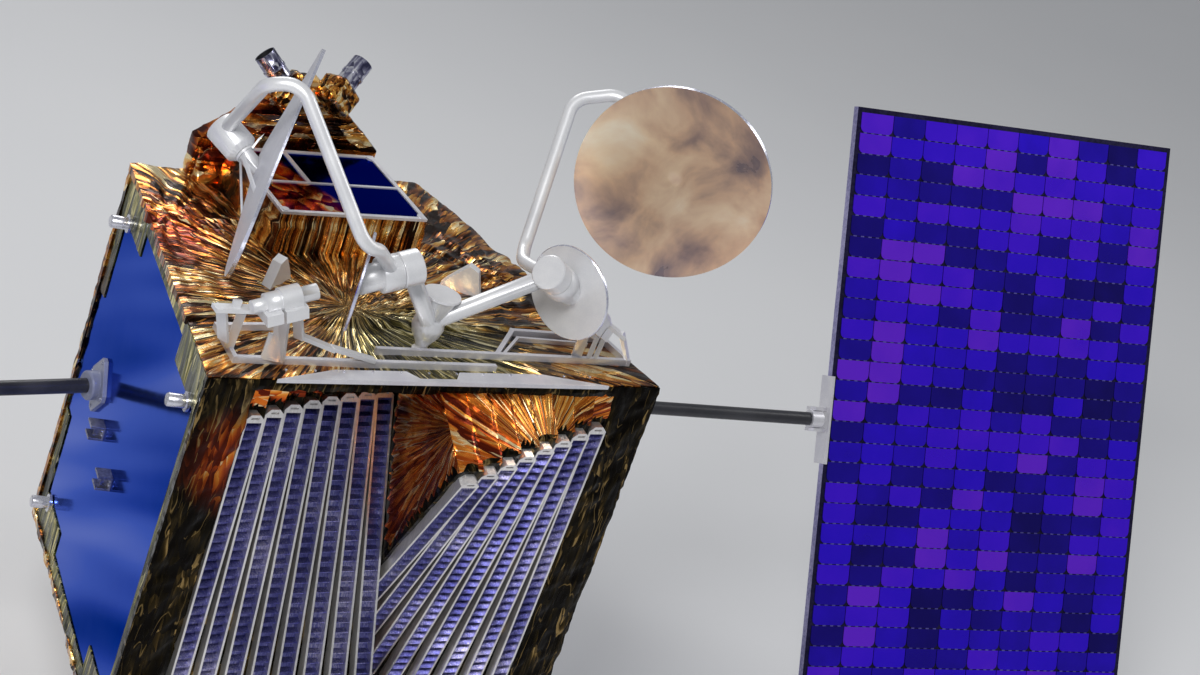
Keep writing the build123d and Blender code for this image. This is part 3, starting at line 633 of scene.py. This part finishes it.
# %% [markdown]
# ## The foil sheets
# Each blanket starts as its CAD solid, so its outline and cut-outs are exact. Parallel bisect
# planes cut it into a lattice, the points wander a little in the sheet, and then each point
# moves out along its normal by ridged noise, which folds in sharp lines as film does. Folds
# run outwards from the places where the film is pulled tight. The shading is smooth only over
# gentle bends, so the folds stay crisp. Blender shifts noise vectors by the time of day unless
# a seed is set, so one is set here, and every run folds the sheets in the same way.

# %% Crumpling
FOLD_SEED = 11
FLAT = 0.995
FOLD_EDGE = 24
FOLD_BASE, FOLD_GAIN = 0.30, 0.5
FREE_SHARE, TIED_SHARE = 0.55, 1.5
SLIDE_SCALE, SLIDE_SHARE = 60, 0.45
noise.seed_set(FOLD_SEED)


def lattice(work, step):
    """Cuts a piece by parallel planes, a step apart, along each of the three axes."""
    corners = [vertex.co for vertex in work.verts]
    low = Vector([min(co[axis] for co in corners) for axis in range(3)])
    high = Vector([max(co[axis] for co in corners) for axis in range(3)])
    for axis in range(3):
        direction = Vector([float(axis == other) for other in range(3)])
        count = int((high[axis] - low[axis]) / step)
        for k in range(1, count):
            place = low + direction * ((high[axis] - low[axis]) * k / count)
            everything = work.verts[:] + work.edges[:] + work.faces[:]
            bmesh.ops.bisect_plane(work, geom=everything, plane_co=place, plane_no=direction)


def folds(place, size, seed):
    """Ridged noise of a given fold size, highest along the ridges."""
    spot = place / size + Vector((seed * 3.7, seed * 1.3, seed * 2.1))
    spot = spot + noise.noise_vector(spot * 0.6) * 0.9
    broad = 1.0 - 2.2 * abs(noise.noise(spot))
    sharp = 1.0 - 2.2 * abs(noise.noise(spot * 2.7 + Vector((5, 2, 9))))
    return broad * 0.62 + sharp * 0.38


def pulled(place, tie, seed):
    """Folds that run outwards from a tie and die away with the distance."""
    centre, first, second, reach = tie
    offset = place - centre
    along, across = offset.dot(first), offset.dot(second)
    distance = sqrt(along**2 + across**2) + 0.01
    angle = atan2(across, along)
    ray = noise.noise(Vector((cos(angle) * 4.2, sin(angle) * 4.2, distance * 2.0 + seed)))
    return (1.0 - 3.0 * abs(ray)) * exp(-distance / reach)


def slide(normal, place, step):
    """A small move within the sheet, so that the lattice doesn't show."""
    wander = noise.noise_vector(place * SLIDE_SCALE) * step * SLIDE_SHARE
    return wander - normal * wander.dot(normal)


def crumple(node, finish, step, rise, size, seed, ties=(), calm=None, zones=()):
    work = merged_copy(node)
    lattice(work, step)
    bmesh.ops.triangulate(work, faces=work.faces[:])
    moves = []
    for vertex in work.verts:
        normal = vertex.normal
        flat = all(face.normal.dot(normal) > FLAT for face in vertex.link_faces)
        amount = folds(vertex.co, size, seed)
        if ties:
            pull = sum(pulled(vertex.co, tie, seed) for tie in ties)
            amount = amount * FREE_SHARE + pull * TIED_SHARE
        share = rise * (calm(vertex.co) if calm else 1.0)
        move = normal * (share * (FOLD_BASE + FOLD_GAIN * amount))
        if flat:
            move += slide(normal, vertex.co, step)
        moves.append(move)
    sort_faces(work, zones)
    for vertex, move in zip(work.verts, moves):
        vertex.co += move
    finishes = [finish] + [zone_finish for zone_finish, belongs in zones]
    mesh = to_mesh(work, "foil_" + node, angle=FOLD_EDGE)
    piece = put("foil_" + node, mesh, finishes, like=node, stands_for=[node])
    print(piece.name, "triangles", len(mesh.polygons))


# %% [markdown]
# ## Foil on the body
# The top sheet is tied down at three places and lies calm under the tray. The side sheets lie
# calm round the mirror's window, and the box's lid stays flat for its mirrors. A sheet's step
# is the width of its lattice, its rise is the height of its folds and its size is their
# spacing, all in metres. The cases behind the bars take three finishes: orange in front,
# drapes on the walls that face sideways, and dark foil wherever a bar is close, because little
# light gets in there. A tree of the bars' faces tells how near the nearest one is.

# %% Foil on the body
TOP = 0.55
X, Y, Z = Vector((1, 0, 0)), Vector((0, 1, 0)), Vector((0, 0, 1))
TOP_TIES = (
    (Vector((0.0, -0.80, TOP)), X, Y, 0.32), (Vector((-0.45, -0.30, TOP)), X, Y, 0.30),
    (Vector((0.42, -0.55, TOP)), X, Y, 0.30))
TRAY_BACK = -0.82
WINDOW_HALF_HIGH = 0.503
WINDOW_BACK, WINDOW_FRONT = -0.037, -1.031
WINDOW_RIM = 0.030
LID = 0.640
SHADE_REACH = 0.016


def calm_top(co):
    return 0.28 if co.y < TRAY_BACK else 1.0


def calm_window(co):
    inside = min(WINDOW_HALF_HIGH - abs(co.z), WINDOW_BACK - co.y, co.y - WINDOW_FRONT)
    return 0.15 if inside > -WINDOW_RIM else 1.0


def calm_lid(co):
    return 0.0 if co.z > LID else 1.0


bar_trees = []
for node in ("waveguide_bars_left", "waveguide_bars_right"):
    bars = merged_copy(node)
    bar_trees.append(BVHTree.FromBMesh(bars))
    bars.free()


def behind_bars(face):
    middle = face.calc_center_median()
    return min(tree.find_nearest(middle)[3] for tree in bar_trees) < SHADE_REACH


def side_wall(face):
    return abs(face.normal.x) > 0.7


for node, finish, step, rise, size, seed, extras in (
        ("blanket_top", top_foil, 0.013, 0.016, 0.085, 1, {"ties": TOP_TIES, "calm": calm_top}),
        ("blanket_front", shaded_front_foil, 0.013, 0.012, 0.070, 2, {}),
        ("blanket_bottom", amber_foil, 0.016, 0.014, 0.090, 3, {}),
        ("blanket_back", amber_foil, 0.016, 0.014, 0.090, 4, {}),
        ("side_blankets", satin_foil, 0.012, 0.006, 0.060, 5, {"calm": calm_window}),
        ("waveguide_cases", orange_foil, 0.015, 0.008, 0.085, 6,
         {"zones": [(drape_foil, side_wall), (shadow_foil, behind_bars)]}),
        ("mirror_box", top_foil, 0.011, 0.009, 0.060, 7, {"calm": calm_lid}),
        ("rear_housing", ridge_foil, 0.010, 0.010, 0.055, 8, {}),
        ("tracker_heads", head_foil, 0.007, 0.004, 0.030, 9, {})):
    crumple(node, finish, step, rise, size, seed, **extras)

# %% [markdown]
# ## The solar cells
# A wing carries ten columns of thirty cells. One cell is a thin plate with two corners cut
# round. It is made once with a vertex bevel and copied 300 times, and each copy gets its own
# random tone, because real cells differ a little in their coating and catch the light
# differently. The tone is a face attribute that the finish reads.

# %% Cell finish
def cell_finish():
    cell = Finish("cell_glass", "solar_cell", metallic=0.85, ior=CLEAR_IOR,
                  coat_roughness=0.08, coat_weight=0.10)
    tone = cell.add("ShaderNodeAttribute", {"attribute_name": "tone"}, out=2)
    where = cell.place()
    shade = cell.noise(where, 7.0, 3.0)
    colour = cell.ramp(tone * 0.90 + shade * 0.20 - 0.05,
                       (0.05, (0.007, 0.002, 0.170)), (0.30, (0.017, 0.004, 0.440)),
                       (0.52, (0.040, 0.006, 0.920)), (0.74, (0.085, 0.010, 1.000)),
                       (0.95, (0.200, 0.028, 1.000)))
    cell.paint(base_color=colour, roughness=shade * 0.16 + 0.22)
    cell.relief(cell.noise(where, 160.0, 2.0), 0.06, 0.001)
    return cell


cell_glass = cell_finish()
tab_metal = metal_finish(
    "cell_tabs", "structure", (0.190, 0.170, 0.560), (0.090, 0.080, 0.320), 0.34)
panel_sheet = metal_finish(
    "panel_sheet", "panel_back", (0.030, 0.026, 0.080), (0.012, 0.010, 0.036), 0.42)
panel_edge = metal_finish(
    "panel_edge", "panel_back", (0.420, 0.400, 0.620), (0.200, 0.190, 0.380), 0.30)
print("cell finish reads", [node.attribute_name for node in cell_glass.tree.nodes
                            if node.type == "ATTRIBUTE"])

# %% [markdown]
# ## The wings' own axes
# A wing is swept back along its boom and tilted about it. Cells are laid out in the panel's
# own plane, across and along, and one matrix then carries the whole field to its wing. The
# same sweep, tilt, boom and panel sizes are in the CAD model, so the cells land on the panel.

# %% Wing axes and one cell
WING_SWEEP = radians(4.95)
WING_TILT = radians(27.4)
WING_ROOT = Vector((0.48453, -0.278, 0.028))
BOOM = 1.417
PANEL_WIDE, PANEL_HIGH = 1.244, 1.928
MARGIN = 0.014
COLUMNS, ROWS = 10, 30
CELL_WIDE = (PANEL_WIDE - 2 * MARGIN) / COLUMNS
CELL_HIGH = (PANEL_HIGH - 2 * MARGIN) / ROWS
CELL_GAP = 0.0028
CELL_THICK = 0.0018
CELL_LIFT = 0.0001
CELL_CORNER = 0.017
TABS = 4
TAB_SIZE = (0.012, 0.0036, 0.0022)
TAB_SPREAD = 0.23
TAB_LIFT = 0.0013


def wing_matrix(side):
    along = Vector((side * cos(WING_SWEEP), -sin(WING_SWEEP), 0))
    level = Vector((side * sin(WING_SWEEP), cos(WING_SWEEP), 0))
    normal = Vector((0, 0, 1)) * sin(WING_TILT) - level * cos(WING_TILT)
    root = Vector((side * WING_ROOT.x, WING_ROOT.y, WING_ROOT.z)) + along * BOOM
    axes = Matrix((along, normal.cross(along), normal)).transposed().to_4x4()
    return Matrix.Translation(root) @ axes


def only_corners(geometry):
    return [part for part in geometry if isinstance(part, bmesh.types.BMVert)]


def one_cell():
    work = bmesh.new()
    bmesh.ops.create_grid(work, x_segments=1, y_segments=1, size=0.5)
    bmesh.ops.scale(work, vec=(CELL_WIDE - CELL_GAP, CELL_HIGH - CELL_GAP, 1), verts=work.verts[:])
    low = [vertex for vertex in work.verts if vertex.co.y < 0]
    bmesh.ops.bevel(work, geom=low, offset=CELL_CORNER, offset_type="OFFSET", segments=3, profile=0.5,
                    affect="VERTICES", material=-1)
    top = bmesh.ops.extrude_face_region(work, geom=work.faces[:])["geom"]
    bmesh.ops.translate(work, vec=(0, 0, CELL_THICK), verts=only_corners(top))
    bmesh.ops.recalc_face_normals(work, faces=work.faces[:])
    mesh = bpy.data.meshes.new("one_cell")
    work.to_mesh(mesh)
    work.free()
    return mesh


print("one cell", round(CELL_WIDE, 4), "by", round(CELL_HIGH, 4))

# %% [markdown]
# ## Cell fields and their tabs
# Real cells share a batch with their neighbours, so a broad noise makes the tones cluster and
# a seeded random number sets each cell apart. Four small metal tabs join a cell to the next
# one up. They are made once as a strip, and the strip is copied to every gap in a column.

# %% Cells and tabs on both wings
def cell_field(hand, side):
    pattern = one_cell()
    work = bmesh.new()
    tone = work.faces.layers.float.new("tone")
    chance = random.Random(11 + side)
    for column in range(COLUMNS):
        for row in range(ROWS):
            first = len(work.faces)
            work.from_mesh(pattern)
            work.faces.ensure_lookup_table()
            faces = work.faces[first:]
            place = (MARGIN + CELL_WIDE * (column + 0.5), CELL_HIGH * (row + 0.5 - ROWS / 2), CELL_LIFT)
            corners = list({vertex for face in faces for vertex in face.verts})
            bmesh.ops.translate(work, vec=place, verts=corners)
            cluster = noise.noise(Vector((column * 0.42, row * 0.21, side * 4.0)))
            shade = min(1.0, max(0.0, 0.5 + cluster * 0.7 + chance.uniform(-0.42, 0.42)))
            for face in faces:
                face[tone] = shade
    bmesh.ops.transform(work, matrix=wing_matrix(side), verts=work.verts[:])
    bpy.data.meshes.remove(pattern)
    name = "cell_field_" + hand
    node = "cells_" + hand
    field = put(name, to_mesh(work, name, smooth=False), [cell_glass], like=node, stands_for=[node])
    print(name, "faces", len(field.data.polygons))


def tab_strips(hand, side):
    """Strips of small tabs over the gaps between each cell and the next one up."""
    work = bmesh.new()
    for tab in range(TABS):
        known = set(work.verts)
        bmesh.ops.create_cube(work, size=1.0)
        fresh = [vertex for vertex in work.verts if vertex not in known]
        bmesh.ops.scale(work, vec=TAB_SIZE, verts=fresh)
        across = CELL_WIDE * (tab - (TABS - 1) / 2) * TAB_SPREAD
        bmesh.ops.translate(work, vec=(across, 0, TAB_LIFT), verts=fresh)
    pattern = bpy.data.meshes.new("one_strip")
    work.to_mesh(pattern)
    work.clear()
    for column in range(COLUMNS):
        for row in range(1, ROWS):
            first = len(work.verts)
            work.from_mesh(pattern)
            work.verts.ensure_lookup_table()
            place = (MARGIN + CELL_WIDE * (column + 0.5), CELL_HIGH * (row - ROWS / 2), 0)
            bmesh.ops.translate(work, vec=place, verts=work.verts[first:])
    bmesh.ops.transform(work, matrix=wing_matrix(side), verts=work.verts[:])
    bmesh.ops.recalc_face_normals(work, faces=work.faces[:])
    bpy.data.meshes.remove(pattern)
    name = "cell_tabs_" + hand
    put(name, to_mesh(work, name, smooth=False), [tab_metal], like="cells_" + hand)


def edge_of(facing):
    """A test for the faces round a panel's edge, which look across the way that it faces."""
    return lambda face: abs(face.normal.dot(facing)) < 0.5


for hand, side in (("left", -1), ("right", 1)):
    cell_field(hand, side)
    tab_strips(hand, side)
    facing = wing_matrix(side).to_3x3() @ Z
    carry("panel_" + hand, panel_sheet, zones=[(panel_edge, edge_of(facing))])

# %% [markdown]
# ## The dishes and the flat subreflectors
# Each dish is a shallow elliptical bowl with a polished front, a thin bright rim and a painted
# back. The CAD solid has the true curve, so its copy is only given three finishes: a face is
# sorted by how far it looks along the way that the whole bowl faces. The flat round
# subreflector is sorted the same way, away from the drum that turns it, and its polished face
# is gold as a painted reflection of the foil that it faces. The dish's polished face reflects a
# cloudy sky in the photograph and a plain studio has none, so soft cloudy patches are painted
# into the finish as a painted reflection.

# %% Polished finishes
CLOUD_BENDS = ((2.2, 0.30), (9.0, 0.05))


def polished_finish(name, slot, shades, patches, rough, shine=0.95):
    face = Finish(name, slot, metallic=shine, ior=IOR)
    where = face.place(scale=(1.0, 1.0, 0.75), turn=(0.4, 0.2, 0.9))
    cloud = face.noise(face.shake(where, *CLOUD_BENDS), patches, 5.0, 0.52)
    face.paint(base_color=face.ramp(cloud, *shades), roughness=cloud * 0.16 + (rough - 0.08))
    face.relief(face.noise(where, 240.0, 2.0), 0.04, 0.001)
    return face


dish_face = polished_finish("polished_dish_face", "dish_face", (
    (0.32, (0.240, 0.200, 0.230)), (0.42, (0.560, 0.400, 0.330)), (0.50, (0.780, 0.560, 0.410)),
    (0.60, (0.920, 0.730, 0.540)), (0.72, (1.000, 0.900, 0.740))), 5.0, 0.30, 0.55)
# The subreflector's gold is a painted reflection of the foil that it faces.
foil_mirror_face = polished_finish("polished_face_foil_reflection", "dish_face", (
    (0.34, (0.110, 0.080, 0.026)), (0.48, (0.330, 0.240, 0.080)), (0.58, (0.600, 0.480, 0.190)),
    (0.70, (0.900, 0.780, 0.420))), 7.0, 0.16)
rim_metal = metal_finish(
    "bright_rim", "white_paint", (0.800, 0.810, 0.900), (0.620, 0.630, 0.760), 0.24)
back_paint = paint_finish(
    "grey_white_back", "white_paint", (0.620, 0.620, 0.650), (0.500, 0.500, 0.540))
print("polished faces", dish_face.material.name, foil_mirror_face.material.name)

# %% [markdown]
# ## Which way a dish looks
# Nothing is typed in here: a flat plate looks the way its largest face does, and a bowl looks
# the way that its outward faces do on average, each weighed by its area. A neighbour that lies
# behind the piece settles which of the two sides is the front.

# %% Dishes and subreflectors
BOWL_EDGE = 0.5
PLATE_EDGE = 0.9
STRAIGHT = 1.1
CURVED_JOIN = 0.01


def middle(node):
    low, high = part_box(node)
    return (Vector(low) + Vector(high)) / 2


def broad_direction(node, away_from):
    """The normal that most of the node's surface shares, pointing away from a neighbour."""
    work = merged_copy(node)
    largest = max(work.faces, key=lambda face: face.calc_area())
    direction = largest.normal.copy()
    work.free()
    return direction if direction.dot(middle(node) - middle(away_from)) > 0 else -direction


def bowl_direction(node, away_from):
    """The average way that the side away from a neighbour looks."""
    work = merged_copy(node)
    total = Vector((0, 0, 0))
    outward = middle(node) - middle(away_from)
    for face in work.faces:
        if face.normal.dot(outward) > 0:
            total += face.normal * face.calc_area()
    work.free()
    return total.normalized()


def looks(direction, low, high):
    """A test for the faces that look along a direction by a share between low and high."""
    return lambda face: low < face.normal.dot(direction) <= high


for hand in ("left", "right"):
    front = bowl_direction("dish_" + hand, "elevation_motor_" + hand)
    carry("dish_" + hand, back_paint, join=CURVED_JOIN, zones=[
        (dish_face, looks(front, BOWL_EDGE, STRAIGHT)), (rim_metal, looks(front, -BOWL_EDGE, BOWL_EDGE))])
    flat = broad_direction("subreflector_" + hand, "azimuth_drum_" + hand)
    carry("subreflector_" + hand, white_paint, zones=[
        (foil_mirror_face, looks(flat, PLATE_EDGE, STRAIGHT)), (rim_metal, looks(flat, -PLATE_EDGE, PLATE_EDGE))])
    print(hand, "dish looks along", [round(value, 2) for value in front])

# %% [markdown]
# ## Star tracker baffles
# A baffle is a short tube wrapped in silver film with lengthwise streaks and a black bore that
# swallows stray light. A face belongs to the bore where it looks towards the tube's own axis,
# or up the tube from its floor.

# %% Baffles
BORE_FLOOR = 0.05


def baffle_zone(side, wants_bore):
    foot, axis = baffle_line(side)
    axis = axis.normalized()

    def belongs(face):
        centre = face.calc_center_median()
        if centre.x * side < 0:
            return False
        along = (centre - foot).dot(axis)
        radial = centre - foot - axis * along
        floor = face.normal.dot(axis) > 0.9 and along < BORE_FLOOR
        return (face.normal.dot(radial) < -0.001 or floor) == wants_bore
    return belongs


carry("tracker_baffles", left_film, zones=[
    (right_film, baffle_zone(1, False)), (dark_bore, baffle_zone(1, True)),
    (dark_bore, baffle_zone(-1, True))])
print("finishes so far", len(bpy.data.materials))

# %% [markdown]
# ## Screw heads
# The plates are held by small socket screws. One head is a short cylinder with a bevelled rim
# and a sunk socket. Copies stand on the corners of the drive flanges and saddle plates and in
# a row along the front tray. The corners are read from the flat faces of the CAD copies.

# %% One screw and its copies
SCREW_SIDES = 12
SIDE_NORMAL = (0.97911, 0.20332)
FLANGE_CORNER = (0.015, 0.024)
TRAY_SCREWS = 12
TRAY_INSET = 0.010


def top_face(work):
    return max((face for face in work.faces if face.normal.z > 0.9), key=lambda face: face.calc_area())


def one_screw(radius, height):
    work = bmesh.new()
    bmesh.ops.create_cone(work, cap_ends=True, segments=SCREW_SIDES, radius1=radius, radius2=radius,
                          depth=height)
    bmesh.ops.bevel(work, geom=top_face(work).edges[:], offset=radius * 0.16, segments=1, profile=0.5,
                    affect="EDGES", material=-1)
    bmesh.ops.inset_region(work, faces=[top_face(work)], thickness=radius * 0.36)
    lid = top_face(work)
    socket = bmesh.ops.extrude_face_region(work, geom=[lid])["geom"]
    bmesh.ops.delete(work, geom=[lid], context="FACES_ONLY")
    bmesh.ops.translate(work, vec=(0, 0, -height * 0.5), verts=only_corners(socket))
    bmesh.ops.recalc_face_normals(work, faces=work.faces[:])
    return to_mesh(work, "one_screw")


def screws(name, node, seats, radius=0.0036, height=0.0034):
    pattern = one_screw(radius, height)
    work = bmesh.new()
    for seat, normal in seats:
        known = set(work.verts)
        work.from_mesh(pattern)
        fresh = [vertex for vertex in work.verts if vertex not in known]
        turn = normal.to_track_quat("Z", "Y").to_matrix().to_4x4()
        stand = Matrix.Translation(seat + normal * (height * 0.4)) @ turn
        bmesh.ops.transform(work, matrix=stand, verts=fresh)
    put(name, to_mesh(work, name), [bright_stub], like=node)
    bpy.data.meshes.remove(pattern)
    print(name, len(seats))


def plate_corners(node, direction, least, inset, short=None):
    """Places near the corners of the flat faces that look one way, drawn in from the edge.

    Where short gives a range of lengths, the middles of such edges stand in for the corners.
    """
    work = merged_copy(node, 1.0)
    seats = []
    for face in work.faces:
        if face.normal.dot(direction) < 0.999 or face.calc_area() < least:
            continue
        centre = face.calc_center_bounds()
        spots = [vertex.co for vertex in face.verts]
        if short:
            spots = [(edge.verts[0].co + edge.verts[1].co) / 2 for edge in face.edges
                     if short[0] < edge.calc_length() < short[1]]
        seats += [(spot + (centre - spot).normalized() * inset, face.normal.copy()) for spot in spots]
    work.free()
    return seats


flange_seats, saddle_seats = [], []
for side in (-1, 1):
    outward = Vector((side * SIDE_NORMAL[0], SIDE_NORMAL[1], 0))
    flange_seats += plate_corners("drive_flanges", outward, 0.002, 0.012, short=FLANGE_CORNER)
    saddle_seats += plate_corners("saddle_brackets", outward, 0.0005, 0.009)
screws("flange_screws", "drive_flanges", flange_seats, 0.0042, 0.0040)
screws("saddle_screws", "saddle_brackets", saddle_seats, 0.0028, 0.0026)
tray_low, tray_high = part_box("feed_tray")
tray_long = tray_high[0] - tray_low[0]
tray_places = [tray_low[0] + tray_long * (k + 0.5) / TRAY_SCREWS for k in range(TRAY_SCREWS)]
tray_line = tray_high[1] - TRAY_INSET
screws("tray_screws", "feed_tray", [(Vector((x, tray_line, tray_high[2])), Z) for x in tray_places])

# %% [markdown]
# ## The studio
# A pale floor lies well below the satellite, so the object hangs above it as on its mounting
# frame. An even, nearly white world fills the shadows. One large soft lamp stands high on the
# left, as in the photograph, and two weaker ones stand on the right and behind.

# %% Floor, world and lamps
FLOOR_DROP = 0.35
FLOOR_HALF = 40.0
WORLD_COLOUR = (0.86, 0.88, 0.92, 1.0)
WORLD_STRENGTH = 0.38


def floor_finish():
    floor = Finish("studio_floor", "white_paint", metallic=0.0, ior=1.4)
    where = floor.place()
    cloud = floor.noise(where, 0.8, 3.0)
    floor.paint(base_color=floor.mix(cloud, (0.760, 0.765, 0.775), (0.800, 0.800, 0.805)),
                roughness=cloud * 0.1 + 0.6)
    return floor


floor_height = cad_box[0][2] - FLOOR_DROP
floor_mesh = bmesh.new()
bmesh.ops.create_grid(floor_mesh, x_segments=1, y_segments=1, size=FLOOR_HALF)
bmesh.ops.translate(floor_mesh, vec=(0, 0, floor_height), verts=floor_mesh.verts[:])
floor = bpy.data.objects.new("studio_floor", to_mesh(floor_mesh, "studio_floor", smooth=False))
floor.data.materials.append(floor_finish().material)
bpy.context.scene.collection.objects.link(floor)

world = bpy.data.worlds.new("studio")
bpy.context.scene.world = world
world.use_nodes = True
background = world.node_tree.nodes["Background"]
background.inputs["Color"].default_value = WORLD_COLOUR
background.inputs["Strength"].default_value = WORLD_STRENGTH


def lamp(name, place, target, size, power):
    light = bpy.data.lights.new(name, "AREA")
    light.shape = "DISK"
    light.size = size
    light.energy = power
    stand = bpy.data.objects.new(name, light)
    aim = (Vector(target) - Vector(place)).to_track_quat("-Z", "Y")
    stand.matrix_world = Matrix.Translation(Vector(place)) @ aim.to_matrix().to_4x4()
    bpy.context.scene.collection.objects.link(stand)


lamp("key_lamp", (-4.5, -5.0, 6.0), (0, -0.6, 0.3), 2.2, 400)
lamp("side_lamp", (6.5, -1.5, 4.5), (0, -0.6, 0.2), 3.0, 90)
lamp("back_lamp", (1.0, 5.0, 4.5), (0, -0.3, 0.3), 3.0, 110)
bpy.context.scene.view_settings.view_transform = "Standard"
print("floor at", round(floor_height, 3), "lamps", len(bpy.data.lights))
